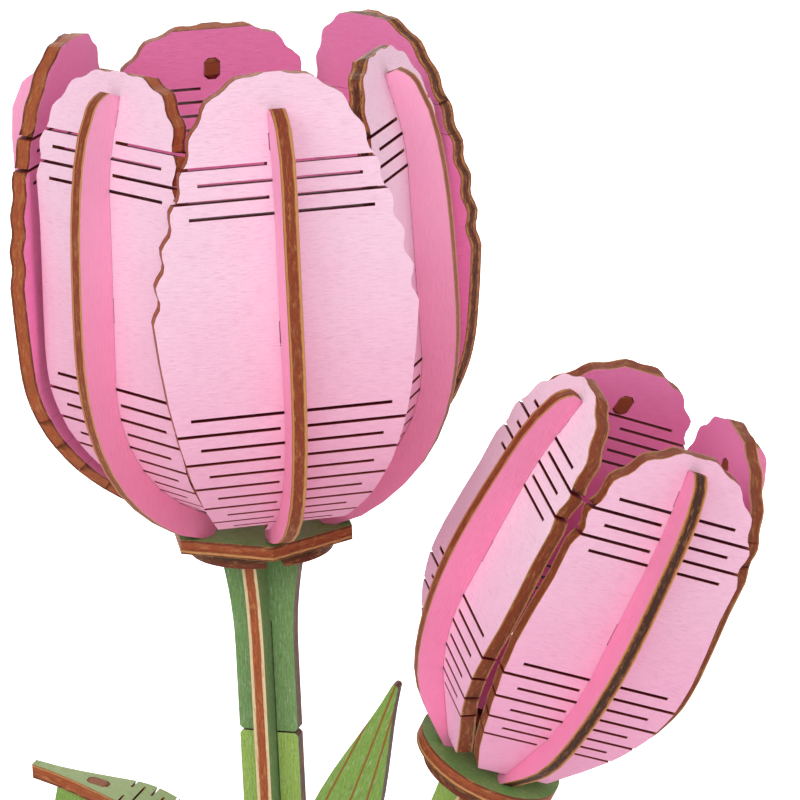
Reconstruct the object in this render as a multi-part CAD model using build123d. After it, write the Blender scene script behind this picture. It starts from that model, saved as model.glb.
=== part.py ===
from build123d import *
import os
from math import cos, pi, radians, sin, tan

# Two tulips cut from thin plywood: an open bloom and a bud on one forked stem.
# Petals and one leaf are flat sheets bent along rows of hinge slits and held by ribs.
# The origin is the middle of the stem's foot, +Z runs up the main stem, and the bud leans to +X.
# All sizes are millimetres, all angles degrees.

# Sheet and joints
sheet = 2.0                # plywood thickness of every piece
fit = 0.1                  # clearance on each side of a tab in its slot
seat = 0.05                # gap between a rib and the face that lies on it
lap_fit = 0.2              # clearance on each side of a half lap
kerf = 0.42                # width of a hinge slit that its bend has opened
tight_kerf = 0.14          # width of a hinge slit that has stayed shut
edge_bridge = 2.2          # wood left between a closed slit and the petal's edge
centre_bridge = 3.0        # wood left in the middle between two open slits
tab_height = 3.0           # upper tab of a rib, along the petal
tab_corner = 0.6           # chamfer on a tab's corners
tab_root = 1.2             # how far a tab is rooted in its rib
wall_tab_height = 4.0      # second tab of a rib, in the petal's wall
wave_length = 4.6          # distance between the lobes of a wavy petal edge
wave_depth = 0.8           # height of those lobes
wave_steps = 5             # straight steps in one lobe
crown_wave = 0.5           # share of the lobes' height that is left at the tip

# Main stem
collar_height = 200.0      # foot to the top of the bloom's calyx plate
stem_width = 8.2
flare_width = 11.6         # width of the stem under the calyx
flare_length = 14.0
tenon_width = 6.0          # the stem's tenon through washer and calyx
cross_upper_length = 29.7  # collar to the seam between the two upper cross panels
seam_chamfer = 0.4
seam_gap = 0.25            # open line between two panels at a seam
upper_lap = 14.0           # collar to the end of the first half lap
middle_lap_margin = 4.2    # flat leaf's root to the end of the second half lap
lower_lap_margin = 6.0     # fork's joint to the end of the third half lap
fork_lap = 30.0            # length of the half lap at the fork's lower end
foot_lap = 35.0            # height of the half lap at the foot
crotch_radius = 3.0

# Bloom
calyx_rim = 2.1            # wood outside the rib slots at the calyx corners
calyx_turn = -4.0          # angle from the ribs to the calyx corners
washer_radius = 9.5
washer_slot = 2.4          # open slot in the washer's front
pitch = 2.05               # distance between hinge slits
lower_slits = 11
upper_slits = 4
inner_wall_radius = 23.4   # axis to the outside of an inner petal's wall
inner_wall_width = 26.8
inner_base_rise = 4.9      # calyx plate to the lower edge of the petal
inner_wall_length = 25.4
inner_flap_length = 8.7
inner_base_angle = 58.6    # slope of the lowest strip, from upright
inner_wall_angle = -2.0
inner_flap_angle = -16.4
ring_gap = 0.85            # clearance between the two rings of petals
outer_wall_width = 32.4
outer_base_rise = 3.9
outer_wall_length = 25.3
outer_flap_length = 11.0
outer_base_angle = 59.6
outer_wall_angle = 0.0
outer_flap_angle = -9.6
base_strip = 1.3           # lowest strip, below the last slit
tongue_length = 3.2        # narrow end of a petal that rests on the rib's toe
tongue_width = 3.4
rib_depth = 5.0            # radial depth of a rib at its middle
inner_shoulder = 3.55      # depth of a rib where its top begins to round
outer_shoulder = 4.4
inner_heel_depth = 3.8     # depth of a rib at the petal's lowest slit
outer_heel_depth = 2.8
inner_rib_inset = 2.7      # petal tip to the top of its rib
inner_tab_inset = 5.8      # petal tip to the middle of the rib's upper tab
outer_rib_inset = 4.4
outer_tab_inset = 8.4
toe_radius = 8.4           # axis to the inner end of a rib
toe_height = 2.6
toe_round = 0.9            # rounding under that end
tenon_inset = 0.1          # start of a rib's flat foot to its tenon
rib_tenon_length = 1.4
heel = 0.1                 # the tenon to the outer end of the flat foot
heel_angle = 78.0          # slope at which a rib's edge leaves the calyx, from upright

# Bud
bud_reach = 30.55          # main axis to the centre of the bud's calyx
bud_lean = 27.5
bud_drop = 30.8            # height of the bud's calyx below the main collar
bud_turn = -55.6           # angle of the first bud petal about the bud's axis
bud_petals = 4
bud_disc_rim = 2.4         # wood outside the rib slots of the bud's calyx
bud_washer_radius = 8.0
bud_stem_width = 7.6
bud_flare_width = 9.2
bud_front_length = 36.0    # collar to the lower end of the bud's front panel
bud_pitch = 1.87
bud_lower_slits = 8
bud_upper_slits = 5
bud_wall_radius = 15.0
bud_gap = 0.2              # clearance between neighbouring bud petals
bud_base_rise = 1.7
bud_base_strip = 8.9
bud_wall_length = 17.3
bud_flap_length = 7.8
bud_base_angle = 29.0
bud_wall_angle = -2.0
bud_flap_angle = -12.0
bud_rib_depth = 4.4
bud_shoulder = 3.1
bud_heel_depth = 3.35
bud_rib_inset = 1.7
bud_tab_inset = 5.9
bud_toe_radius = 6.0
bud_toe_height = 1.4
bud_toe_round = 0.3
bud_tenon_length = 1.0
bud_heel_angle = 45.0

# Leaves
leaf_kerf = 0.3
leaf_pitch = 1.5
leaf_slits = 12
leaf_blade_length = 13.9   # tip to the first slit
leaf_root_length = 20.9    # last slit to the lower end
leaf_width = 10.2
leaf_tip_width = 1.6
leaf_blade_angle = 76.6
leaf_root_angle = 18.0
leaf_root_depth = 71.15    # collar to the lower end of the leaf
leaf_root_bite = 1.0       # how far the leaf's forked end grips the stem panel
leaf_tab_inset = 9.6       # tip to the middle of the rib's tab
leaf_rib_depth = 4.5
leaf_rib_inset = 4.2       # tip to the outer end of the leaf's rib
leaf_rib_end = 2.4         # depth of that end
leaf_rib_tab_depth = 2.0   # tab of the leaf's rib in the stem
leaf_rib_tab_height = 4.0
leaf_rib_shoulder = 2.0    # stem edge covered by the rib above and below that tab
flat_leaf_length = 44.0
flat_leaf_width = 9.4
flat_leaf_lean = 22.7
flat_leaf_tip_reach = 18.7
flat_leaf_tip_drop = 21.2
flat_leaf_tip_radius = 0.45
flat_leaf_root_height = 6.0

parts = {}


def along(start, length, angle):
    """The point reached from start, in the upright plane, at an angle from vertical."""
    return start[0] + length * sin(radians(angle)), start[1] + length * cos(radians(angle))


def beside(point, distance, angle):
    """The point at a distance outward from a strip that stands at an angle."""
    return point[0] + distance * cos(radians(angle)), point[1] - distance * sin(radians(angle))


def flat(points):
    """Points of the upright plane as points in space."""
    return [(x, 0, z) for x, z in points]


def plate(outline):
    """A sheet cut to an outline in the upright plane, centred on that plane."""
    return extrude(make_face(outline), amount=sheet / 2, both=True)


def stepped(curve, steps, first=0.0, last=1.0):
    """A curve, or a part of it, as straight steps, which keeps the facets few."""
    return Polyline(*[curve.position_at(first + (last - first) * k / steps) for k in range(steps + 1)])


def tab_block(length, width, height):
    """A bar along X with chamfered corners, for tabs and the slots that take them."""
    bar = Box(length, width, height)
    return chamfer(bar.edges().filter_by(Axis.X), tab_corner)


def offset_chain(points, angles, distance):
    """A chain of strips moved outward, with its bends kept on the bisectors."""
    moved = [beside(points[0], distance, angles[0])]
    for k in range(1, len(points) - 1):
        middle = (angles[k - 1] + angles[k]) / 2
        half = (angles[k] - angles[k - 1]) / 2
        moved.append(beside(points[k], distance / cos(radians(half)), middle))
    moved.append(beside(points[-1], distance, angles[-1]))
    return moved


class BentSheet:
    """A sheet bent along two rows of slits: a base strip, a wall and a flap."""

    def __init__(self, base, lower, step, wall, upper, flap, angles):
        base_angle, wall_angle, flap_angle = angles
        lengths = [base] + [step] * (lower - 1) + [wall] + [step] * (upper - 1) + [flap]
        self.angles = [base_angle]
        for k in range(1, lower):
            self.angles.append(base_angle + (wall_angle - base_angle) * k / lower)
        self.angles.append(wall_angle)
        for k in range(1, upper):
            self.angles.append(wall_angle + (flap_angle - wall_angle) * k / upper)
        self.angles.append(flap_angle)
        self.points = [(0.0, 0.0)]
        for length, angle in zip(lengths, self.angles):
            self.points.append(along(self.points[-1], length, angle))
        self.lower = lower
        self.upper = upper
        self.wall = wall
        self.flap = flap

    def place(self, wall_radius, rise):
        """Moves the chain so that its wall foot is at a radius and its lower end at a height."""
        shift = wall_radius - self.points[self.lower][0]
        self.points = [(x + shift, z + rise) for x, z in self.points]
        return self

    def bend_angle(self, k):
        return (self.angles[k - 1] + self.angles[k]) / 2

    def band(self, width):
        """The bent sheet as a band of one width, sheet thickness inward of the chain."""
        ring = self.points + offset_chain(self.points, self.angles, -sheet)[::-1]
        return extrude(make_face(Polyline(*flat(ring), close=True)), amount=width / 2, both=True)

    def tongue(self, length, width):
        """The narrow end that goes on past the lowest strip."""
        end = along(self.points[0], -length, self.angles[0])
        ring = [self.points[0], end]
        ring.append(beside(end, -sheet, self.angles[0]))
        ring.append(beside(self.points[0], -sheet, self.angles[0]))
        return extrude(make_face(Polyline(*flat(ring), close=True)), amount=width / 2, both=True)


def half_width(outline, height):
    """Half the petal's width at a height, between the named points of its side."""
    for (low, narrow), (high, wide) in zip(outline, outline[1:]):
        if low <= height <= high:
            return narrow + (wide - narrow) * (height - low) / (high - low)
    return outline[-1][1]


def wavy_face(outline, first_wave):
    """The petal seen from outside: smooth below, lobed from one of its side points upward."""
    side = [(0, w, z) for z, w in outline]
    mirrored = [(0, -y, z) for _, y, z in side[-2::-1]]
    smooth = Spline(*(side + mirrored))
    start = smooth.param_at_point(Vector(side[first_wave]))
    lobes = round(smooth.length * (1 - 2 * start) / wave_length)
    low_steps = 2 * first_wave
    edge = [smooth.position_at(start * k / low_steps) for k in range(low_steps)]
    low_left = [smooth.position_at(1 - start * k / low_steps) for k in range(low_steps)]
    steps = lobes * wave_steps
    for k in range(steps + 1):
        u = start + (1 - 2 * start) * k / steps
        heading = smooth.tangent_at(u)
        fade = 1 - (1 - crown_wave) * sin(pi * k / steps) ** 2
        push = wave_depth / 2 * fade * cos(2 * pi * k / wave_steps)
        edge.append(smooth.position_at(u) + Vector(0, push * heading.Z, -push * heading.Y))
    return make_face(Polyline(*(edge + low_left[::-1]), close=True))


def slits(form, outline, upper_first_open, widths):
    """Hinge slits at the bends: closed ones across the middle, open ones from both edges."""
    lower_width, upper_width = widths
    cutters = []
    rows = []
    for n in range(form.lower):
        rows.append((form.lower - n, n % 2 == 1, lower_width))
    for n in range(form.upper):
        rows.append((form.lower + form.upper - n, (n % 2 == 0) == upper_first_open, upper_width))
    for k, is_open, width in rows:
        x, z = form.points[k]
        here = Pos(x, 0, z) * Rot(0, form.bend_angle(k), 0)
        reach = half_width(outline, z)
        if is_open:
            length = reach - centre_bridge / 2 + sheet
            for side in (1, -1):
                middle = side * (centre_bridge / 2 + length / 2)
                cutters.append(here * Pos(0, middle, 0) * Box(3 * sheet, length, width))
        else:
            cutters.append(here * Box(3 * sheet, 2 * (reach - edge_bridge), width))
    return cutters


def tab_places(form, inset):
    """Middle point and slope of a rib's two tabs, in the flap and in the wall."""
    tip_angle = form.angles[-1]
    upper = along(form.points[-1], -inset, tip_angle)
    wall_angle = form.angles[form.lower]
    lower = along(form.points[form.lower], form.wall * 0.4, wall_angle)
    return [(upper, tip_angle, tab_height), (lower, wall_angle, wall_tab_height)]


def petal(form, outline, first_wave, tongue, inset, upper_first_open, widths):
    """A petal facing +X: a bent band, trimmed to its outline, slit and slotted."""
    widest = max(w for _, w in outline)
    reach = 2 * max(x for x, _ in form.points)
    trim = extrude(wavy_face(outline, first_wave), amount=reach, dir=(1, 0, 0))
    body = form.band(2 * (widest + wave_length)) & trim
    if tongue:
        body = body + form.tongue(tongue, tongue_width)
    cutters = slits(form, outline, upper_first_open, widths)
    for (x, z), angle, height in tab_places(form, inset):
        slot = tab_block(3 * sheet, sheet + 2 * fit, height + 2 * fit)
        cutters.append(Pos(x, 0, z) * Rot(0, angle, 0) * slot)
    return body - cutters


def tenon_start(toe):
    """Axis to the inner side of a rib's tenon, just past its rounded toe."""
    reach, _, rounding = toe
    return reach + rounding + tenon_inset


def rib(form, depths, insets, tongue, toe, tenon_length, foot_angle):
    """The crescent rib that lies on a petal's outside and stands on the calyx."""
    depth, shoulder_depth, heel_depth = depths
    reach, height, rounding = toe
    inset, tab_inset = insets
    flap_angle = form.angles[-1]
    tip = form.points[-1]
    top = along(tip, -inset - 0.06 * depth, flap_angle)
    end = along(form.points[0], -tongue, form.angles[0])
    inner = offset_chain([end] + form.points[1:-1] + [top], form.angles, seat)
    start = tenon_start(toe)
    tenon_end = start + tenon_length
    toe_side = (reach, rounding)
    toe_middle = (reach + 0.3 * rounding, 0.3 * rounding)
    toe_foot = (reach + rounding, 0)
    foot = (tenon_end + heel, 0)
    base = [toe_foot, (start, 0), (start, -sheet), (tenon_end, -sheet), (tenon_end, 0), foot]
    middle = form.lower // 2
    wall_middle = along(form.points[form.lower], form.wall / 2, form.angles[form.lower])
    shoulder = beside(along(tip, -inset - 0.5 * depth, flap_angle), shoulder_depth, flap_angle)
    head_depth = 0.45 * depth + 0.63 * shoulder_depth
    crest = [
        foot,
        beside(form.points[1], heel_depth, form.angles[0]),
        beside(form.points[middle], 0.78 * depth, form.bend_angle(middle)),
        beside(form.points[form.lower], 0.88 * depth, form.bend_angle(form.lower)),
        beside(wall_middle, depth, form.angles[form.lower]),
        beside(form.points[form.lower + 1], head_depth, form.bend_angle(form.lower + 1)),
        shoulder,
        beside(along(tip, -inset - 0.13 * depth, flap_angle), 0.48 * depth, flap_angle),
        beside(along(tip, -inset, flap_angle), 0.2 * depth, flap_angle),
        inner[-1],
    ]
    headings = [along((0, 0), 1, foot_angle), beside((0, 0), -1, flap_angle + 20)]
    edge = Spline(*flat(crest), tangents=flat(headings))
    turn = edge.param_at_point(Vector(*flat([shoulder])[0]))
    body = plate([
        Polyline(*flat(inner[::-1] + [(reach, height), toe_side])),
        stepped(ThreePointArc(*flat([toe_side, toe_middle, toe_foot])), 4),
        Polyline(*flat(base)),
        stepped(edge, 18, 0.0, turn),
        stepped(edge, 5, turn, 1.0),
    ])
    tab_reach = sheet + seat + tab_root
    for (x, z), angle, tall in tab_places(form, tab_inset):
        here = Pos(x, 0, z) * Rot(0, angle, 0) * Pos(tab_reach / 2 - sheet, 0, 0)
        body = body + here * tab_block(tab_reach, sheet, tall)
    return body


def cross_slot():
    """Cutter for the crossed tenons of a stem."""
    lengthwise = Box(tenon_width + 2 * fit, sheet + 2 * fit, 3 * sheet)
    return lengthwise + Rot(0, 0, 90) * lengthwise


def rib_slots(count, start, length):
    """Cutters for the rib tenons in a calyx plate."""
    slot = Box(length + 2 * fit, sheet + 2 * fit, 3 * sheet)
    return [Rot(0, 0, 360 / count * k) * Pos(start + length / 2, 0, 0) * slot for k in range(count)]


def stem_top(width, flare, lower_end):
    """A stem panel from its tenon at z = 0 down to a lower end, in the upright plane."""
    shoulder = -2 * sheet
    straight = shoulder - flare_length
    curve = Spline(*flat([(flare / 2, shoulder), (width / 2, straight)]),
                   tangents=((-(flare - width) / flare_length, 0, -1), (0, 0, -1)))
    half = plate([
        Polyline(*flat([(0, 0), (tenon_width / 2, 0), (tenon_width / 2, shoulder), (flare / 2, shoulder)])),
        stepped(curve, 7),
        Polyline(*flat([(width / 2, straight), (width / 2, lower_end), (0, lower_end), (0, 0)])),
    ])
    return half + mirror(half, about=Plane.YZ)


def lap(low, high):
    """Cutter for a half lap between two heights."""
    return Pos(0, 0, (low + high) / 2) * Box(sheet + 2 * lap_fit, 3 * sheet, high - low)


def corner_cuts(height):
    """Cutters for the open line and the small chamfers where two stem panels meet at a seam."""
    side = (seam_chamfer + seam_gap / 2) * 2 ** 0.5
    half = stem_width / 2
    corners = [Pos(x, 0, height) * Rot(0, 45, 0) * Box(side, 3 * sheet, side) for x in (half, -half)]
    return corners + [Pos(0, 0, height) * Box(2 * stem_width, 3 * sheet, seam_gap)]


def bloom():
    """Calyx, washer, two rings of petals and their ribs, with the calyx top at z = 0."""
    inner = BentSheet(base_strip, lower_slits, pitch, inner_wall_length, upper_slits, inner_flap_length,
                      (inner_base_angle, inner_wall_angle, inner_flap_angle))
    inner.place(inner_wall_radius, inner_base_rise)
    outer_wall_radius = (inner_wall_radius * cos(radians(60)) + inner_wall_width / 2 * sin(radians(60))
                         + sheet + ring_gap)
    outer = BentSheet(base_strip, lower_slits, pitch, outer_wall_length, upper_slits, outer_flap_length,
                      (outer_base_angle, outer_wall_angle, outer_flap_angle))
    outer.place(outer_wall_radius, outer_base_rise)
    toe = (toe_radius, toe_height, toe_round)
    opened = (kerf, kerf)
    shut = (tight_kerf, tight_kerf)
    shut_below = (tight_kerf, kerf)
    rings = (
        ("outer", outer, outer_outline(outer), 3, (outer_rib_inset, outer_tab_inset),
         (rib_depth, outer_shoulder, outer_heel_depth), -60, (opened, shut, shut_below)),
        ("inner", inner, inner_outline(inner), 4, (inner_rib_inset, inner_tab_inset),
         (rib_depth, inner_shoulder, inner_heel_depth), 0, (opened, opened, opened)),
    )
    for ring, form, outline, first_wave, insets, depths, first, widths in rings:
        brace = rib(form, depths, insets, tongue_length, toe, rib_tenon_length, heel_angle)
        for k in range(3):
            turn = Pos(0, 0, collar_height) * Rot(0, 0, first + 120 * k)
            blade = petal(form, outline, first_wave, tongue_length, insets[1], True, widths[k])
            parts[f"bloom_petal_{ring}_{k + 1}"] = turn * blade
            parts[f"bloom_rib_{ring}_{k + 1}"] = turn * brace
    start = tenon_start(toe)
    calyx_radius = start + rib_tenon_length + fit + calyx_rim
    calyx = extrude(Rot(0, 0, calyx_turn) * RegularPolygon(calyx_radius, 6), amount=-sheet)
    calyx = calyx - ([cross_slot()] + rib_slots(6, start, rib_tenon_length))
    parts["bloom_calyx_hex"] = Pos(0, 0, collar_height) * calyx
    washer = extrude(Circle(washer_radius), amount=-sheet)
    open_slot = Rot(0, 0, -60) * Pos(washer_radius, 0, 0) * Box(2 * washer_radius, washer_slot, 3 * sheet)
    washer = washer - [cross_slot(), open_slot]
    parts["bloom_calyx_washer"] = Pos(0, 0, collar_height - sheet) * washer


def side_heights(form):
    """Heights that shape a petal's side, from its lower end to its tip."""
    low = form.points[0][1]
    foot = form.points[form.lower][1]
    head = form.points[form.lower + 1][1]
    brow = form.points[form.lower + form.upper][1]
    tip = form.points[-1][1]
    belly = low + 0.42 * (foot - low)
    crown = brow + 0.72 * (tip - brow)
    return [low, belly, foot, (foot + head) / 2, head, brow, crown, tip]


def side_points(form, shares, widest):
    """Side of a bloom petal: shares of its half width at the shaping heights."""
    return [(z, share * widest / 2) for z, share in zip(side_heights(form), shares)]


def outer_outline(form):
    return side_points(form, (0.51, 0.74, 0.92, 1.0, 0.85, 0.73, 0.49, 0.0), outer_wall_width)


def inner_outline(form):
    return side_points(form, (0.49, 0.80, 0.98, 1.0, 1.0, 0.95, 0.66, 0.0), inner_wall_width)


def inner_reach(form, height):
    """Axis to the inside of a bent sheet at a height."""
    inside = offset_chain(form.points, form.angles, -sheet)
    for (near, low), (far, high) in zip(inside, inside[1:]):
        if low <= height <= high:
            return near + (far - near) * (height - low) / (high - low)
    return inside[0][0]


def bud_outline(form):
    """Side of a bud petal: it follows its neighbour's inside and draws in at the lobed crown."""
    shares = (0.90, 0.98, 1.0, 1.0, 0.965, 0.95, 0.62)
    heights = side_heights(form)
    side = [(z, share * (inner_reach(form, z) - bud_gap)) for z, share in zip(heights, shares)]
    return side + [(heights[-1], 0.0)]


def bud():
    """The bud on the fork's arm, in its own leaning frame with the calyx top at z = 0."""
    here = Pos(bud_reach, 0, collar_height - bud_drop) * Rot(0, bud_lean, 0)
    turned = here * Rot(0, 0, bud_turn)
    form = BentSheet(bud_base_strip, bud_lower_slits, bud_pitch, bud_wall_length, bud_upper_slits,
                     bud_flap_length, (bud_base_angle, bud_wall_angle, bud_flap_angle))
    form.place(bud_wall_radius, bud_base_rise)
    toe = (bud_toe_radius, bud_toe_height, bud_toe_round)
    insets = (bud_rib_inset, bud_tab_inset)
    depths = (bud_rib_depth, bud_shoulder, bud_heel_depth)
    brace = rib(form, depths, insets, 0, toe, bud_tenon_length, bud_heel_angle)
    for k in range(bud_petals):
        turn = turned * Rot(0, 0, 360 / bud_petals * k)
        width = tight_kerf if k == 1 else kerf
        blade = petal(form, bud_outline(form), 4, 0, bud_tab_inset, False, (width, width))
        parts[f"bud_petal_{k + 1}"] = turn * blade
        parts[f"bud_rib_{k + 1}"] = turn * brace
    start = tenon_start(toe)
    disc_radius = start + bud_tenon_length + fit + bud_disc_rim
    disc = extrude(Circle(disc_radius), amount=-sheet)
    slots = [Rot(0, 0, bud_turn) * slot for slot in rib_slots(bud_petals, start, bud_tenon_length)]
    parts["bud_calyx_disc"] = here * (disc - ([cross_slot()] + slots))
    washer = extrude(Circle(bud_washer_radius), amount=-sheet)
    parts["bud_calyx_washer"] = here * Pos(0, 0, -sheet) * (washer - cross_slot())
    front = stem_top(bud_stem_width, bud_flare_width, -bud_front_length)
    front = front - lap(-bud_front_length, -bud_front_length / 2)
    parts["bud_stem_front"] = here * Rot(0, 0, 90) * front


def stems():
    """The crossed panels of the main stem, staggered and half lapped, with the fork to the bud."""
    top = Pos(0, 0, collar_height)
    half = stem_width / 2
    seam = -cross_upper_length
    joint = -bud_drop - bud_reach / tan(radians(bud_lean))
    root_low = flat_leaf_root_low()
    middle_lap = root_low - middle_lap_margin
    lower_lap = joint - lower_lap_margin
    front_seam = (middle_lap + lower_lap) / 2
    fork_low = lower_lap - fork_lap

    upper = stem_top(stem_width, flare_width, seam)
    parts["stem_cross_upper"] = top * (upper - ([lap(seam, -upper_lap)] + corner_cuts(seam)))

    front = stem_top(stem_width, flare_width, front_seam) - [lap(-upper_lap, 0), lap(front_seam, middle_lap)]
    notch_place = Pos(0, -half - sheet / 2, root_low + flat_leaf_root_height / 2)
    notch = notch_place * Box(3 * sheet, stem_width, flat_leaf_root_height + 2 * fit)
    parts["stem_front_upper"] = top * (Rot(0, 0, 90) * front - notch)

    body = Pos(0, 0, (fork_low + seam) / 2) * Box(stem_width, sheet, seam - fork_low)
    arm_end = Pos(bud_reach, 0, -bud_drop) * Rot(0, bud_lean, 0)
    body = body + arm_end * stem_top(bud_stem_width, bud_flare_width, -bud_reach / sin(radians(bud_lean)))
    crotch_height = joint + (half * cos(radians(bud_lean)) + bud_stem_width / 2) / sin(radians(bud_lean))
    crotch = body.edges().filter_by(Axis.Y).sort_by_distance((half, 0, crotch_height))[0]
    body = fillet(crotch, crotch_radius)
    rib_notch = Box(2 * (leaf_rib_tab_depth + fit), 3 * sheet, leaf_rib_tab_height + 2 * fit)
    cuts = [lap(middle_lap, seam), lap(fork_low, lower_lap), arm_end * lap(-bud_front_length / 2, 0)]
    cuts.append(Pos(-half, 0, leaf_rib_tab_level()) * rib_notch)
    parts["stem_fork"] = top * (body - (cuts + corner_cuts(seam) + corner_cuts(fork_low)))

    front_top = collar_height + front_seam
    lower = Pos(0, 0, front_top / 2) * Box(stem_width, sheet, front_top)
    lower = lower - [lap(collar_height + lower_lap, front_top), lap(0, foot_lap)]
    parts["stem_front_lower"] = Rot(0, 0, 90) * lower

    foot_top = collar_height + fork_low
    foot = Pos(0, 0, foot_top / 2) * Box(stem_width, sheet, foot_top)
    parts["stem_cross_foot"] = foot - ([lap(foot_lap, foot_top)] + corner_cuts(foot_top))


def flat_leaf_root_low():
    """Height of the flat leaf's root below the collar."""
    return -flat_leaf_tip_drop - flat_leaf_length * cos(radians(flat_leaf_lean))


def flat_leaf():
    """The upright leaf in front of the cross panel, its root tab in the front panel's notch."""
    tip = (flat_leaf_tip_reach, -flat_leaf_tip_drop)
    end = along(tip, -flat_leaf_length, flat_leaf_lean)
    middle = along(tip, -0.54 * flat_leaf_length, flat_leaf_lean)
    half = flat_leaf_width / 2
    sides = []
    for side in (1, -1):
        sides.append([
            beside(along(tip, -0.6 * flat_leaf_tip_radius, flat_leaf_lean),
                   side * flat_leaf_tip_radius, flat_leaf_lean),
            beside(along(tip, -0.14 * flat_leaf_length, flat_leaf_lean), side * 0.33 * half, flat_leaf_lean),
            beside(along(tip, -0.27 * flat_leaf_length, flat_leaf_lean), side * 0.62 * half, flat_leaf_lean),
            beside(middle, side * half, flat_leaf_lean),
            beside(along(tip, -0.8 * flat_leaf_length, flat_leaf_lean), side * 0.72 * half, flat_leaf_lean),
            beside(end, side * 0.3 * half, flat_leaf_lean),
        ])
    right, left = sides
    outline = [
        stepped(Spline(*flat(right)), 14),
        Line(*flat([right[-1], left[-1]])),
        stepped(Spline(*flat(left)), 14),
        stepped(ThreePointArc(*flat([left[0], tip, right[0]])), 5),
    ]
    blade = plate(outline)
    far = flat_leaf_tip_reach + flat_leaf_width
    beyond_front = Pos(sheet / 2 + fit + far / 2, 0, -collar_height / 2) * Box(far, 3 * sheet, collar_height)
    blade = blade & beyond_front
    root_low = flat_leaf_root_low()
    root = Pos(stem_width / 4, 0, root_low + flat_leaf_root_height / 2)
    blade = blade + root * Box(stem_width / 2 + 2 * sheet, sheet, flat_leaf_root_height)
    parts["leaf_right"] = Pos(0, -sheet - fit, collar_height) * blade


def leaf_rib_tab_level():
    """Height of the tab of the leaf's rib, below the collar."""
    return -leaf_root_depth - leaf_rib_shoulder - leaf_rib_tab_height / 2


def arching_leaf():
    """The leaf that arches to -X on its rib, made toward +X and then turned round."""
    angles = [leaf_root_angle]
    lengths = [leaf_root_length]
    for k in range(1, leaf_slits):
        angles.append(leaf_root_angle + (leaf_blade_angle - leaf_root_angle) * k / leaf_slits)
        lengths.append(leaf_pitch)
    angles.append(leaf_blade_angle)
    lengths.append(leaf_blade_length)
    half_stem = stem_width / 2
    points = [(half_stem - leaf_root_bite, -leaf_root_depth)]
    for length, angle in zip(lengths, angles):
        points.append(along(points[-1], length, angle))
    middle = len(points) // 2

    under = offset_chain(points, angles, sheet)
    band = extrude(make_face(Polyline(*flat(points + under[::-1]), close=True)), amount=leaf_width, both=True)
    half = leaf_width / 2
    side = [
        (points[0][0], 0.5 * half, 0),
        (points[1][0], 0.95 * half, 0),
        (points[middle][0], half, 0),
        (points[-2][0], 0.74 * half, 0),
        (points[-1][0], leaf_tip_width / 2, 0),
    ]
    mirrored = [(x, -y, 0) for x, y, _ in side]
    rim = make_face([
        stepped(Spline(*side), 10),
        Line(side[-1], mirrored[-1]),
        stepped(Spline(*mirrored), 10),
        Line(side[0], mirrored[0]),
    ])
    blade = band & extrude(rim, amount=collar_height, both=True)
    cutters = []
    for k in range(1, leaf_slits + 1):
        x, z = points[k]
        here = Pos(x, 0, z) * Rot(0, (angles[k - 1] + angles[k]) / 2, 0)
        if (leaf_slits - k) % 2 == 0:
            for toward in (1, -1):
                middle_out = toward * (centre_bridge + half) / 2
                cutters.append(here * Pos(0, middle_out, 0) * Box(3 * sheet, half, leaf_kerf))
        else:
            cutters.append(here * Box(3 * sheet, leaf_width - 2 * edge_bridge, leaf_kerf))
    grip = leaf_root_bite / sin(radians(leaf_root_angle)) + sheet / 2
    fork = Rot(0, leaf_root_angle, 0) * Box(5 * sheet, sheet + 2 * fit, 2 * grip)
    cutters.append(Pos(points[0][0], 0, points[0][1]) * fork)
    tab = along(points[-1], -leaf_tab_inset, leaf_blade_angle)
    tab_place = Pos(tab[0], 0, tab[1]) * Rot(0, leaf_blade_angle, 0)
    cutters.append(tab_place * tab_block(5 * sheet, sheet + 2 * fit, tab_height + 2 * fit))
    turned = Pos(0, 0, collar_height) * Rot(0, 0, 180)
    parts["leaf_left"] = turned * (blade - cutters)

    end = along(points[-1], -leaf_rib_inset, leaf_blade_angle)
    upper = offset_chain(points[:-1] + [end], angles, sheet + seat)
    level = leaf_rib_tab_level()
    edge = half_stem + seat
    tab_end = edge - leaf_rib_tab_depth
    low = level - leaf_rib_tab_height / 2
    high = level + leaf_rib_tab_height / 2
    root = [
        upper[0], (edge, upper[0][1]), (edge, high), (tab_end, high), (tab_end, low), (edge, low),
        (edge, low - leaf_rib_shoulder),
    ]
    keel = [
        root[-1],
        beside(points[1], sheet + 0.9 * leaf_rib_depth, angles[0]),
        beside(points[middle], sheet + leaf_rib_depth, angles[middle]),
        beside(points[-2], sheet + 0.9 * leaf_rib_depth, angles[-1]),
        beside(upper[-1], leaf_rib_end, leaf_blade_angle),
    ]
    brace = plate([
        Polyline(*flat(upper[::-1] + root[1:])),
        stepped(Spline(*flat(keel)), 16),
        Line(*flat([keel[-1], upper[-1]])),
    ])
    tab_reach = sheet + seat + tab_root
    brace = brace + tab_place * Pos(tab_reach / 2, 0, 0) * tab_block(tab_reach, sheet, tab_height)
    parts["leaf_left_rib"] = turned * brace


bloom()
bud()
stems()
flat_leaf()
arching_leaf()

os.makedirs("parts", exist_ok=True)
for name, solid in parts.items():
    export_step(solid, f"parts/{name}.step")
    print(name, len(solid.solids()), round(solid.volume, 1), solid.is_valid)
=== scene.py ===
import math
import bmesh
import bpy
from mathutils import Matrix, Vector
from mathutils.bvhtree import BVHTree


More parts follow.
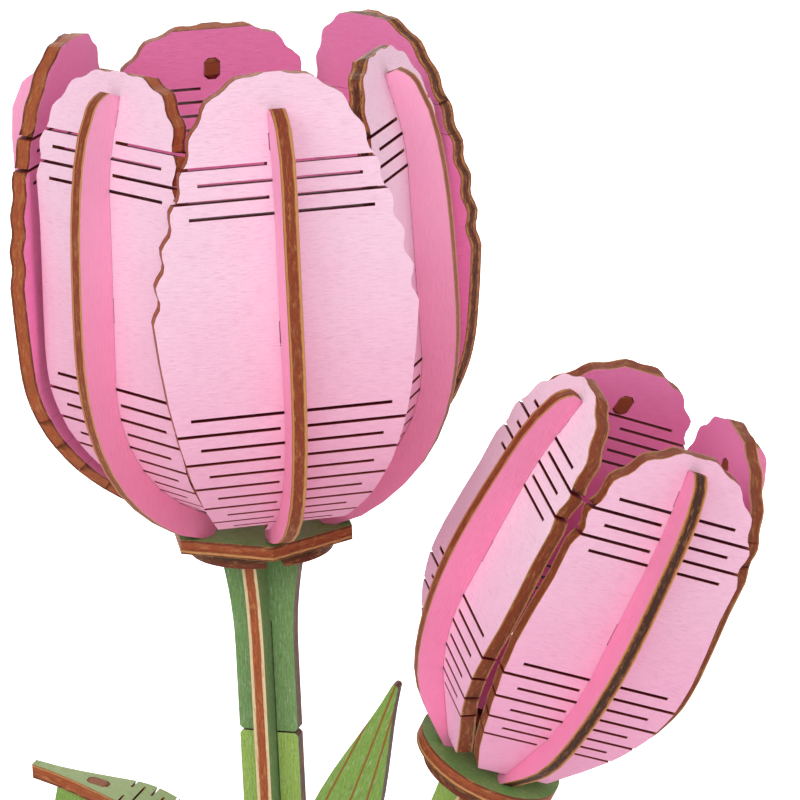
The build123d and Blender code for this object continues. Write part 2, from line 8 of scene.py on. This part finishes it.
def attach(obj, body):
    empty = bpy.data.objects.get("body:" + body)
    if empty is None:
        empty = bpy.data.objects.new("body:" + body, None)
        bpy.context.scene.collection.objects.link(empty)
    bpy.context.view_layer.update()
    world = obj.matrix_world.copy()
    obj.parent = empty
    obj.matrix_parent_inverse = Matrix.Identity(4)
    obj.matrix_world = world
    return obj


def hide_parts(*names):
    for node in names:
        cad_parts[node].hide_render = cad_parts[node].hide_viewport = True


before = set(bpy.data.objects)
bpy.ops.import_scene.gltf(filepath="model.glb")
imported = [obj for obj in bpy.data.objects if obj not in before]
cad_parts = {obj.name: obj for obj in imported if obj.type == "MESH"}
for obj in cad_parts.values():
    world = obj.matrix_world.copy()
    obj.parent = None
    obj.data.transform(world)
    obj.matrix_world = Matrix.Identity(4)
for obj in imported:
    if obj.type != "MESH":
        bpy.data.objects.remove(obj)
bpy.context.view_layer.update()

# Places of the model, in metres and degrees
COLLAR_HEIGHT = 0.200
BUD_REACH = 0.03055
BUD_DROP = 0.0308
BUD_LEAN = 27.5
BUD_TURN = -55.6
FLAT_LEAF_TIP = (0.0187, 0.0, -0.0212)
FLAT_LEAF_LEAN = 22.7
RINGS = (("outer", -60), ("inner", 0))
RING_PETALS = 3
BUD_PETALS = 4

# Forms
TO_MM = 1000
WELD_REACH = 2e-6          # corners nearer than this become one
SMOOTH_BEND = 24.0         # bends up to this angle look round
EVEN_WEIGHT = 80           # how much more than small faces the large ones rule the shading
SLIT_REACH = 0.0009        # two cut faces nearer than this are the walls of one slit
TIGHT_GAP = 0.00026        # a slit narrower than this at its middle is a tight one
SHUT_SHARE = 0.46          # share of a tight slit's width by which each of its walls moves inward
OFF_FACE = 1e-5            # how far before a face a ray starts
CORNER_INSET = 0.02        # share of the way from a corner to the face's middle at which a ray starts
TAB_END_FACING = 0.6       # least cosine between the end of a tab and the burnt direction

# Bent sheets with slits that the bend holds shut
SHUT = {"bloom_petal_outer_2", "bloom_petal_outer_3", "bud_petal_2"}

# Petals painted paler than the others of their ring: painted light for a petal that the bloom shades from the
# lamps
PAINTED_LIGHT_PETALS = {"bud_petal_4"}

# Pieces whose cut edges the laser has scorched more than the others
SOOTY = {"bloom_petal_outer_2", "bloom_petal_inner_1", "bud_rib_1"}

# Camera
CAMERA_PLACE = (0.1590, -0.4408, 0.3507)
CAMERA_HEADING = 17.51
CAMERA_TILT = 16.133
CAMERA_ROLL = -2.323
CAMERA_LENS = 167.95
SENSOR_WIDTH = 36.0
NEAREST_SEEN = 0.01
FARTHEST_SEEN = 50.0

# Light, each lamp with its place in metres and its watts
ROOM_LIGHT = 0.42
FRONT_LAMP = ((0.40, -0.88, 0.74), 3.6)
LEFT_LAMP = ((-0.34, -0.86, 0.82), 3.9)
RIGHT_LAMP = ((0.95, 0.40, 0.45), 2.2)
BACK_LAMP = ((-0.34, 0.94, 0.66), 4.0)
LAMP_SIZE = 0.8
LIT_PLACE = (0.015, 0.0, 0.2)
FLOOR_RADIUS = 3.0
FLOOR_SIDES = 96
FOOT_GLOW = 0.14           # how much brighter than lit the floor looks at the foot
WHITE_FROM = (0.05, 0.36)  # distances from the foot between which the floor turns plain white
PAPER_LIGHT = (0.95, 0.95, 0.95, 1.0)
PAPER_DULL = (0.93, 0.93, 0.93, 1.0)
DUST = (3.0, 3.0, 3.0)
DUST_SHARE = 0.5
PAPER_ROUGHNESS = 0.9
WHITE = (1.0, 1.0, 1.0, 1.0)

# Colours of the faces, as they look on screen
PETAL_TOP = (251, 211, 230)
PETAL_FOOT = (243, 170, 200)
BUD_TOP = (249, 197, 221)
BUD_FOOT = (250, 174, 208)
# Painted light: a paler copy of the bud petal colours, for the petal that the bloom shades
PAINTED_LIT_BUD_TOP = (255, 224, 240)
PAINTED_LIT_BUD_FOOT = (255, 188, 222)
PETAL_INSIDE = (255, 152, 205)
RIB_TOP = (252, 172, 206)
RIB_FOOT = (243, 138, 177)
BUD_RIB_TOP = (240, 141, 179)
BUD_RIB_FOOT = (247, 143, 184)
CALYX_GREEN = (118, 164, 86)
WASHER_RED = (104, 48, 30)
STEM_SAGE = (120, 156, 94)
STEM_GREEN = (158, 190, 92)
LEAF_PALE = (160, 182, 121)
LEAF_GREEN = (128, 163, 73)
VEIN_BROWN = (138, 92, 40)

# Shares of the light that the dark lines of the grain leave
PINK_STAIN = (0.90, 0.56, 0.72, 1.0)
GREEN_STAIN = (0.62, 0.52, 0.50, 1.0)

# Colours of the cut edges
CREAM = (226, 198, 156)
TAN = (198, 142, 86)
BROWN = (164, 83, 44)
DARK_BROWN = (140, 61, 31)
UMBER = (124, 66, 44)
RED_BROWN = (106, 46, 26)
SOOT = (56, 26, 14)
# Painted shade: a dark grey for cut edges drawn as if seen in shadow
SHADED_EDGE_GREY = (92, 74, 64)
BURNT_TAB = (142, 76, 44)
SLIT_LIP = (150, 72, 52)
# Painted shade: the darker colour deeper inside a slit, where the narrow gap keeps light out; the lip colour
# above is the scorch
SLIT_SHADE = (108, 26, 26)

# Layers of a cut edge, from the front face to the back face
PETAL_EDGE = (
    (0.0, RED_BROWN), (0.12, RED_BROWN), (0.19, BROWN), (0.81, BROWN), (0.88, RED_BROWN), (1.0, RED_BROWN),
)
SOOTY_PETAL_EDGE = (
    (0.0, RED_BROWN), (0.08, BROWN), (0.20, TAN), (0.34, RED_BROWN), (0.66, RED_BROWN), (0.80, TAN),
    (0.92, BROWN), (1.0, SOOT),
)
BUD_EDGE = (
    (0.0, TAN), (0.05, TAN), (0.13, UMBER), (0.30, DARK_BROWN), (0.87, UMBER), (0.93, TAN), (1.0, RED_BROWN),
)
RIB_EDGE = (
    (0.0, BROWN), (0.05, TAN), (0.16, TAN), (0.22, DARK_BROWN), (0.80, DARK_BROWN), (0.86, TAN), (1.0, BROWN),
)
SOOTY_RIB_EDGE = (
    (0.0, TAN), (0.08, TAN), (0.18, BROWN), (0.3, SOOT), (0.7, SOOT), (0.82, BROWN), (0.92, TAN), (1.0, TAN),
)
PLATE_EDGE = (
    (0.0, RED_BROWN), (0.14, RED_BROWN), (0.22, BROWN), (0.70, DARK_BROWN), (0.78, TAN), (0.86, TAN),
    (0.91, RED_BROWN), (1.0, RED_BROWN),
)
DARK_EDGE = ((0.0, RED_BROWN), (0.3, SOOT), (0.7, RED_BROWN), (1.0, RED_BROWN))
STEM_EDGE = ((0.0, CREAM), (0.19, CREAM), (0.24, BROWN), (0.76, BROWN), (0.81, CREAM), (1.0, CREAM))
LEAF_EDGE = ((0.0, RED_BROWN), (0.12, RED_BROWN), (0.2, BROWN), (0.8, BROWN), (0.86, TAN), (1.0, RED_BROWN))
# Painted shade: the cut edges of the cross panels and of the veined leaf, drawn dark as if always in shadow,
# unlike the lit stem front edges
SHADED_SLATE_EDGE = ((0.0, SHADED_EDGE_GREY), (0.4, RED_BROWN), (0.6, SHADED_EDGE_GREY), (1.0, SHADED_EDGE_GREY))

# Veins of the flat leaf: sideways offset at the tip, sideways run per length, both in millimetres
VEINS = ((0.0, 0.0), (-1.0, -0.105), (0.78, 0.076))
VEIN_HALF_WIDTH = 0.13
VEIN_FADE = (1.4, 0.7)     # parts of that half width between which the line fades in

# Heights on a petal between which its colour changes from the upper to the lower one, in millimetres
FOOT_SPAN = (46.0, 4.0)

# Noise per millimetre with the grain and against it, and per sheet thickness
GRAIN = (0.45, 4.6, 0.0)
PORES = (0.60, 8.0, 0.0)
MOTTLE = (1.5, 4.6, 0.0)
CLOUD = (0.07, 0.10, 0.0)
WOBBLE = (0.5, 0.5, 1.0)
FIBRE = (0.5, 0.5, 4.5)
SPECKS = (0.9, 0.9, 9.0)
PRINT_SHIFT = (91.0, 47.0, 0.0)  # largest shift between the prints of two pieces

# Noise values at which a mark begins and at which it is full
STREAK_LEVELS = (0.50, 0.72)
PALE_LEVELS = (0.50, 0.75)
MOTTLE_LEVELS = (0.53, 0.38)
CLOUD_LEVELS = (0.35, 0.75)
FIBRE_LEVELS = (0.50, 0.34)
SPECK_LEVELS = (0.45, 0.57)

# Strength of the marks
PALE_SHARE = 0.35
CLOUD_SHARE = 0.10
FIBRE_SHARE = 0.5
LAYER_WOBBLE = 0.12

# Places in the sheet's thickness, as shares of it
BACK_FROM = (0.45, 0.55)         # depths between which the front's print gives way to the back's
SOOT_FROM = (0.46, 0.26)         # distances from the middle between which soot sets in
# The next line sets where painted shade darkens a slit's wall away from the faces
SLIT_SHADE_FROM = (0.02, 0.16)         # distances from a face between which a slit's wall turns dark
PRINT_FROM = (0.012, 0.004)      # distances from a face between which the print sets in

# Sheen and relief of the print
ROUGHNESS = 0.52
GRAIN_ROUGHNESS = 0.22
GLOSS = 0.25
GRAIN_HEIGHT = 0.6
STREAK_HEIGHT = -0.5
RELIEF_STRENGTH = 0.5
RELIEF_DEPTH = 0.00013


def linear(colour):
    """A screen colour as the light values that make it."""
    shares = [c / 255 for c in colour]
    return tuple(c / 12.92 if c <= 0.04045 else ((c + 0.055) / 1.055) ** 2.4 for c in shares) + (1.0,)


class Tree:
    """A material and short ways to make its nodes."""

    def __init__(self, name):
        self.material = bpy.data.materials.new(name)
        self.material.use_nodes = True
        self.nodes = self.material.node_tree.nodes
        self.links = self.material.node_tree.links
        self.shader = next(n for n in self.nodes if n.type == "BSDF_PRINCIPLED")

    def node(self, kind, sockets=(), **settings):
        made = self.nodes.new(kind)
        for name, value in settings.items():
            setattr(made, name, value)
        for key, value in dict(sockets).items():
            self.put(made.inputs[key], value)
        return made

    def put(self, socket, value):
        if isinstance(value, bpy.types.NodeSocket):
            self.links.new(value, socket)
        else:
            socket.default_value = value

    def math(self, operation, a, b=0.5):
        return self.node("ShaderNodeMath", {0: a, 1: b}, operation=operation).outputs[0]

    def mix(self, share, a, b, blend="MIX"):
        made = self.node("ShaderNodeMix", data_type="RGBA", blend_type=blend)
        self.put(made.inputs["Factor"], share)
        self.put(made.inputs[6], a)
        self.put(made.inputs[7], b)
        return made.outputs[2]

    def noise(self, vector, stretch, detail=4.0, rough=0.55):
        moved = self.node("ShaderNodeMapping", {"Vector": vector, "Scale": stretch}).outputs[0]
        sockets = {"Vector": moved, "Scale": 1.0, "Detail": detail, "Roughness": rough}
        return self.node("ShaderNodeTexNoise", sockets).outputs["Fac"]

    def band(self, value, low, high):
        """0 at low and 1 at high, whichever of the two is larger."""
        sockets = {0: value, 1: low, 2: high}
        return self.node("ShaderNodeMapRange", sockets, interpolation_type="SMOOTHSTEP").outputs[0]

    def ramp(self, value, stops):
        made = self.node("ShaderNodeValToRGB", {0: value})
        elements = made.color_ramp.elements
        for spot, colour in stops[1:-1]:
            elements.new(spot).color = linear(colour)
        elements[0].color = linear(stops[0][1])
        elements[-1].color = linear(stops[-1][1])
        return made.outputs[0]


def plywood(name, front, edge, back=None, flecks=0.36, soot=0.35, foot=None, upward=1, veins=(),
            stain=PINK_STAIN):
    """Printed three-ply sheet: print on both faces, bare layers on the cut edges, scorched slit walls that
    turn darker inward as painted shade.
    The back is printed like the front unless it has its own colour. flecks is how much the grain shows,
    soot how black the middle layer is and stain the tint of the dark lines. upward says which direction
    of the print is the height over which its colour changes to foot."""
    t = Tree(name)
    place = t.node("ShaderNodeAttribute", attribute_name="ply").outputs["Vector"]
    split = t.node("ShaderNodeSeparateXYZ", {0: place}).outputs
    depth = split[2]
    slit = t.node("ShaderNodeAttribute", attribute_name="slit").outputs["Fac"]
    burnt = t.node("ShaderNodeAttribute", attribute_name="burnt").outputs["Fac"]
    seed = t.node("ShaderNodeObjectInfo").outputs["Random"]
    away = {0: PRINT_SHIFT, "Scale": seed}
    shift = t.node("ShaderNodeVectorMath", away, operation="SCALE").outputs[0]
    print_place = t.node("ShaderNodeVectorMath", {0: place, 1: shift}, operation="ADD").outputs[0]

    grain = t.noise(print_place, GRAIN, detail=6.0, rough=0.65)
    pores = t.noise(print_place, PORES, detail=4.0, rough=0.6)
    mottle = t.noise(print_place, MOTTLE, detail=8.0, rough=0.85)
    cloud = t.noise(print_place, CLOUD, detail=2.0)
    streak = t.band(pores, *STREAK_LEVELS)

    face = linear(front)
    if foot:
        low = t.band(split[upward], *FOOT_SPAN)
        face = t.mix(low, face, linear(foot))
    base = t.mix(t.band(depth, *BACK_FROM), face, linear(back) if back else face)
    dark = t.mix(1.0, base, stain, "MULTIPLY")
    pale = t.mix(PALE_SHARE, base, WHITE)
    inked = t.mix(t.math("MULTIPLY", streak, flecks), base, dark)
    inked = t.mix(t.math("MULTIPLY", t.band(grain, *PALE_LEVELS), flecks), inked, pale)
    inked = t.mix(t.math("MULTIPLY", t.band(mottle, *MOTTLE_LEVELS), flecks * flecks), inked, dark)
    inked = t.mix(t.math("MULTIPLY", t.band(cloud, *CLOUD_LEVELS), CLOUD_SHARE), inked, dark)
    for offset, run in veins:
        line = t.math("ADD", t.math("MULTIPLY", split[0], -run), offset)
        beside = t.math("ABSOLUTE", t.math("SUBTRACT", split[1], line))
        drawn = t.band(beside, *(VEIN_HALF_WIDTH * part for part in VEIN_FADE))
        inked = t.mix(drawn, inked, linear(VEIN_BROWN))

    wobble = t.noise(print_place, WOBBLE, detail=3.0)
    layer = t.math("ADD", depth, t.math("MULTIPLY", t.math("SUBTRACT", wobble, 0.5), LAYER_WOBBLE))
    bare = t.ramp(layer, edge)
    fibre = t.noise(print_place, FIBRE, detail=6.0, rough=0.75)
    from_middle = t.math("ABSOLUTE", t.math("SUBTRACT", depth, 0.5))
    middle = t.band(from_middle, *SOOT_FROM)
    specks = t.noise(print_place, SPECKS, detail=6.0, rough=0.8)
    black = t.math("MULTIPLY", t.band(specks, *SPECK_LEVELS), t.math("MULTIPLY", middle, soot))
    bare = t.mix(t.math("MULTIPLY", t.band(fibre, *FIBRE_LEVELS), FIBRE_SHARE), bare, linear(TAN))
    bare = t.mix(black, bare, linear(SOOT))
    bare = t.mix(burnt, bare, linear(BURNT_TAB))
    inward = t.math("SUBTRACT", 0.5, from_middle)
    # Slit walls: scorched colour at the lip, turning to painted shade deeper in the slit
    scorch_and_shade = t.mix(t.band(inward, *SLIT_SHADE_FROM), linear(SLIT_LIP), linear(SLIT_SHADE))
    bare = t.mix(slit, bare, scorch_and_shade)

    on_face = t.math("MULTIPLY", t.band(inward, *PRINT_FROM), t.math("SUBTRACT", 1.0, slit))
    t.put(t.shader.inputs["Base Color"], t.mix(on_face, bare, inked))
    t.put(t.shader.inputs["Roughness"], t.math("ADD", ROUGHNESS, t.math("MULTIPLY", grain, GRAIN_ROUGHNESS)))
    t.shader.inputs["Specular IOR Level"].default_value = GLOSS
    relief = t.math("ADD", t.math("MULTIPLY", grain, GRAIN_HEIGHT), t.math("MULTIPLY", streak, STREAK_HEIGHT))
    sockets = {"Strength": RELIEF_STRENGTH, "Distance": RELIEF_DEPTH, "Height": relief}
    bump = t.node("ShaderNodeBump", sockets)
    t.put(t.shader.inputs["Normal"], bump.outputs[0])
    return t.material


def smooth_region(start, left, limit):
    """The faces reached from one face across gentle bends, taken out of the set of those left."""
    region = {start}
    queue = [start]
    while queue:
        face = queue.pop()
        for edge in face.edges:
            for other in edge.link_faces:
                if other in left and face.normal.angle(other.normal) < limit:
                    left.discard(other)
                    region.add(other)
                    queue.append(other)
    return region


def broad_faces(form, outward):
    """The front and the back of a bent sheet: its two largest smooth regions, the outer one first."""
    left = set(form.faces)
    regions = []
    while left:
        region = smooth_region(left.pop(), left, math.radians(SMOOTH_BEND))
        area = sum(face.calc_area() for face in region)
        reach = sum(outward(face.calc_center_median()) * face.calc_area() for face in region) / area
        regions.append((area, reach, region))
    regions.sort(key=lambda entry: entry[0], reverse=True)
    front, back = sorted(regions[:2], key=lambda entry: entry[1], reverse=True)
    return front[2], back[2]


def slit_walls(form, broad):
    """Numbers of the cut faces that look at another cut face across a slit."""
    tree = BVHTree.FromBMesh(form)
    found = set()
    for face in form.faces:
        if face in broad:
            continue
        start = face.calc_center_median() + face.normal * OFF_FACE
        hit = tree.ray_cast(start, face.normal, SLIT_REACH)[0]
        if hit is not None:
            found.add(face.index)
    return found


def shut_slits(form, walls):
    """Draws the walls of the tight slits together, so that only a hair line is left of each."""
    tree = BVHTree.FromBMesh(form)
    shifts = {}
    for number in walls:
        face = form.faces[number]
        middle = face.calc_center_median()
        gap = tree.ray_cast(middle + face.normal * OFF_FACE, face.normal, TIGHT_GAP)[3]
        if gap is None:
            continue
        for vert in face.verts:
            start = vert.co.lerp(middle, CORNER_INSET) + face.normal * OFF_FACE
            across = tree.ray_cast(start, face.normal, SLIT_REACH)[3]
            if across is not None:
                shifts[vert] = face.normal * across * SHUT_SHARE
    for vert, shift in shifts.items():
        vert.co += shift


def bent_layers(form, home):
    """Depth in the sheet at each vertex of a bent sheet that faces +X, and its slit walls."""
    front, back = broad_faces(form, lambda spot: (home @ spot).x)
    depths = {v.index: 1.0 for face in back for v in face.verts}
    depths.update({v.index: 0.0 for face in front for v in face.verts})
    return depths, slit_walls(form, front | back)


def flat_layers(form, home, normal):
    """Depth in the sheet at each vertex of a flat sheet."""
    heights = [(home @ v.co).dot(normal) for v in form.verts]
    low = min(heights)
    high = max(heights)
    return {k: (high - h) / (high - low) for k, h in enumerate(heights)}, set()


def piece(node, material, place, across, along, bent=False, burnt=None):
    """A plywood piece: the node's own form, marked with its layers and its print's directions.
    place is the frame of the sheet; the grain runs across, the other direction of the face is along.
    Cut faces that look in the burnt direction are the ends of tabs, scorched all over."""
    form = bmesh.new()
    form.from_mesh(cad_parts[node].data)
    bmesh.ops.remove_doubles(form, verts=form.verts, dist=WELD_REACH)
    form.normal_update()
    form.verts.index_update()
    form.faces.index_update()
    form.faces.ensure_lookup_table()
    home = place.inverted()
    spots = [home @ v.co for v in form.verts]
    if bent:
        depths, walls = bent_layers(form, home)
        if node in SHUT:
            shut_slits(form, walls)
    else:
        depths, walls = flat_layers(form, home, across.cross(along))
    mesh = bpy.data.meshes.new(node + "_look")
    form.to_mesh(mesh)
    form.free()
    ply = mesh.attributes.new("ply", "FLOAT_VECTOR", "POINT")
    for k, spot in enumerate(spots):
        ply.data[k].vector = (spot.dot(across) * TO_MM, spot.dot(along) * TO_MM, depths.get(k, 0.5))
    marks = mesh.attributes.new("slit", "FLOAT", "FACE")
    scorch = mesh.attributes.new("burnt", "FLOAT", "FACE")
    for k, polygon in enumerate(mesh.polygons):
        marks.data[k].value = 1.0 if k in walls else 0.0
        if burnt is not None:
            facing = (home.to_3x3() @ polygon.normal).dot(burnt)
            scorch.data[k].value = 1.0 if facing > TAB_END_FACING else 0.0
        polygon.use_smooth = True
    mesh.set_sharp_from_angle(angle=math.radians(SMOOTH_BEND))
    mesh.materials.clear()
    mesh.materials.append(material)
    made = bpy.data.objects.new(node + "_look", mesh)
    even = made.modifiers.new("even shading", "WEIGHTED_NORMAL")
    even.keep_sharp = True
    even.weight = EVEN_WEIGHT
    bpy.context.scene.collection.objects.link(made)
    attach(made, "root")
    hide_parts(node)


X = Vector((1, 0, 0))
Y = Vector((0, 1, 0))
Z = Vector((0, 0, 1))


def turn(axis, degrees):
    return Matrix.Rotation(math.radians(degrees), 4, axis)


petal_ply = plywood("petal", PETAL_TOP, PETAL_EDGE, PETAL_INSIDE, soot=0.25, foot=PETAL_FOOT)
sooty_petal_ply = plywood(
    "petal, sooty", PETAL_TOP, SOOTY_PETAL_EDGE, PETAL_INSIDE, soot=0.9, foot=PETAL_FOOT,
)
bud_petal_ply = plywood("bud petal", BUD_TOP, BUD_EDGE, PETAL_INSIDE, soot=0.25, foot=BUD_FOOT)
# Painted light: the bud petal sheet made paler for a petal in the bloom's shade
painted_lit_bud_petal_ply = plywood(
    "bud petal, painted lit", PAINTED_LIT_BUD_TOP, BUD_EDGE, PETAL_INSIDE, soot=0.25, foot=PAINTED_LIT_BUD_FOOT,
)
rib_ply = plywood("rib", RIB_TOP, RIB_EDGE, flecks=0.22, foot=RIB_FOOT, upward=0)
bud_rib_ply = plywood("bud rib", BUD_RIB_TOP, RIB_EDGE, flecks=0.22, foot=BUD_RIB_FOOT, upward=0)
sooty_rib_ply = plywood(
    "bud rib, sooty", BUD_RIB_TOP, SOOTY_RIB_EDGE, flecks=0.22, soot=1.0, foot=BUD_RIB_FOOT, upward=0,
)
calyx_ply = plywood("calyx", CALYX_GREEN, PLATE_EDGE, flecks=0.8, stain=GREEN_STAIN)
washer_ply = plywood("washer", WASHER_RED, DARK_EDGE, stain=GREEN_STAIN)
front_ply = plywood("upper stem front", STEM_SAGE, STEM_EDGE, flecks=0.9, stain=GREEN_STAIN)
cross_ply = plywood("upper stem cross", STEM_SAGE, SHADED_SLATE_EDGE, flecks=0.9, stain=GREEN_STAIN)
low_front_ply = plywood("lower stem front", STEM_GREEN, STEM_EDGE, flecks=0.9, stain=GREEN_STAIN)
low_cross_ply = plywood("lower stem cross", STEM_GREEN, SHADED_SLATE_EDGE, flecks=0.9, stain=GREEN_STAIN)
pale_leaf_ply = plywood("pale leaf", LEAF_GREEN, LEAF_EDGE, LEAF_PALE, flecks=0.7, stain=GREEN_STAIN)
leaf_rib_ply = plywood("leaf rib", LEAF_GREEN, LEAF_EDGE, flecks=0.7, stain=GREEN_STAIN)
leaf_ply = plywood("veined leaf", LEAF_GREEN, SHADED_SLATE_EDGE, flecks=0.8, veins=VEINS, stain=GREEN_STAIN)

collar = Matrix.Translation((0, 0, COLLAR_HEIGHT))
bud_place = Matrix.Translation((BUD_REACH, 0, COLLAR_HEIGHT - BUD_DROP)) @ turn("Y", BUD_LEAN)
flat_leaf_place = collar @ Matrix.Translation(FLAT_LEAF_TIP) @ turn("Y", FLAT_LEAF_LEAN)

for ring, first in RINGS:
    for k in range(RING_PETALS):
        here = collar @ turn("Z", first + 360 / RING_PETALS * k)
        petal = f"bloom_petal_{ring}_{k + 1}"
        piece(petal, sooty_petal_ply if petal in SOOTY else petal_ply, here, Y, Z, bent=True)
        piece(f"bloom_rib_{ring}_{k + 1}", rib_ply, here, Z, X, burnt=-X)
for k in range(BUD_PETALS):
    here = bud_place @ turn("Z", BUD_TURN + 360 / BUD_PETALS * k)
    rib = f"bud_rib_{k + 1}"
    petal = f"bud_petal_{k + 1}"
    piece(petal, painted_lit_bud_petal_ply if petal in PAINTED_LIGHT_PETALS else bud_petal_ply, here, Y, Z, bent=True)
    piece(rib, sooty_rib_ply if rib in SOOTY else bud_rib_ply, here, Z, X, burnt=-X)
piece("bloom_calyx_hex", calyx_ply, collar, X, Y)
piece("bloom_calyx_washer", washer_ply, collar, X, Y)
piece("bud_calyx_disc", calyx_ply, bud_place, X, Y)
piece("bud_calyx_washer", washer_ply, bud_place, X, Y)
piece("bud_stem_front", low_front_ply, bud_place, Z, Y)
piece("stem_cross_upper", cross_ply, collar, Z, X)
piece("stem_front_upper", front_ply, collar, Z, Y)
piece("stem_fork", low_cross_ply, collar, Z, X)
piece("stem_front_lower", low_front_ply, collar, Z, Y)
piece("stem_cross_foot", low_cross_ply, collar, Z, X)
piece("leaf_left", pale_leaf_ply, collar @ turn("Z", 180), X, Y, bent=True)
piece("leaf_left_rib", leaf_rib_ply, collar, Z, X, burnt=Z)
piece("leaf_right", leaf_ply, flat_leaf_place, Z, X)


def paper():
    """White paper that the camera sees brighter than it is lit, the more so the farther off it lies."""
    t = Tree("white paper")
    place = t.node("ShaderNodeTexCoord").outputs["Object"]
    dust = t.noise(place, DUST)
    tone = t.mix(t.math("MULTIPLY", dust, DUST_SHARE), PAPER_LIGHT, PAPER_DULL)
    t.put(t.shader.inputs["Base Color"], tone)
    t.shader.inputs["Roughness"].default_value = PAPER_ROUGHNESS
    t.shader.inputs["Specular IOR Level"].default_value = 0.0
    t.shader.inputs["Emission Color"].default_value = WHITE
    path = t.node("ShaderNodeLightPath").outputs
    seen = t.math("MAXIMUM", path["Is Camera Ray"], path["Is Glossy Ray"])
    seen = t.math("MAXIMUM", seen, path["Is Transmission Ray"])
    distance = t.node("ShaderNodeVectorMath", {0: place}, operation="LENGTH").outputs["Value"]
    far = t.band(distance, *WHITE_FROM)
    glow = t.math("ADD", FOOT_GLOW, t.math("MULTIPLY", far, 1.0 - FOOT_GLOW))
    t.put(t.shader.inputs["Emission Strength"], t.math("MULTIPLY", seen, glow))
    return t.material


def floor_disc(radius):
    mesh = bpy.data.meshes.new("floor")
    form = bmesh.new()
    bmesh.ops.create_circle(form, cap_ends=True, segments=FLOOR_SIDES, radius=radius)
    form.to_mesh(mesh)
    form.free()
    mesh.materials.append(paper())
    made = bpy.data.objects.new("floor", mesh)
    bpy.context.scene.collection.objects.link(made)


def lamp(name, place, watts):
    data = bpy.data.lights.new(name, "AREA")
    data.shape = "DISK"
    data.size = LAMP_SIZE
    data.energy = watts
    made = bpy.data.objects.new(name, data)
    made.location = place
    made.rotation_euler = (Vector(LIT_PLACE) - Vector(place)).to_track_quat("-Z", "Y").to_euler()
    bpy.context.scene.collection.objects.link(made)


floor_disc(FLOOR_RADIUS)
lamp("front lamp", *FRONT_LAMP)
lamp("left lamp", *LEFT_LAMP)
lamp("right lamp", *RIGHT_LAMP)
lamp("back lamp", *BACK_LAMP)

world = bpy.data.worlds.new("white room")
bpy.context.scene.world = world
world.use_nodes = True
room = world.node_tree
sky = room.nodes["Background"]
sky.inputs["Color"].default_value = WHITE
path = room.nodes.new("ShaderNodeLightPath")
seen = path.outputs["Is Camera Ray"]
for kind in ("Is Glossy Ray", "Is Transmission Ray"):
    either = room.nodes.new("ShaderNodeMath")
    either.operation = "MAXIMUM"
    room.links.new(seen, either.inputs[0])
    room.links.new(path.outputs[kind], either.inputs[1])
    seen = either.outputs[0]
level = room.nodes.new("ShaderNodeMapRange")
level.inputs["To Min"].default_value = ROOM_LIGHT
level.inputs["To Max"].default_value = 1.0
room.links.new(seen, level.inputs["Value"])
room.links.new(level.outputs["Result"], sky.inputs["Strength"])

camera = bpy.data.objects.new("camera", bpy.data.cameras.new("camera"))
camera.data.lens = CAMERA_LENS
camera.data.sensor_width = SENSOR_WIDTH
camera.data.clip_start = NEAREST_SEEN
camera.data.clip_end = FARTHEST_SEEN
camera.matrix_world = (Matrix.Translation(CAMERA_PLACE) @ turn("Z", CAMERA_HEADING)
                       @ turn("X", 90 - CAMERA_TILT) @ turn("Z", CAMERA_ROLL))
bpy.context.scene.collection.objects.link(camera)
bpy.context.scene.camera = camera
bpy.context.scene.view_settings.view_transform = "Standard"
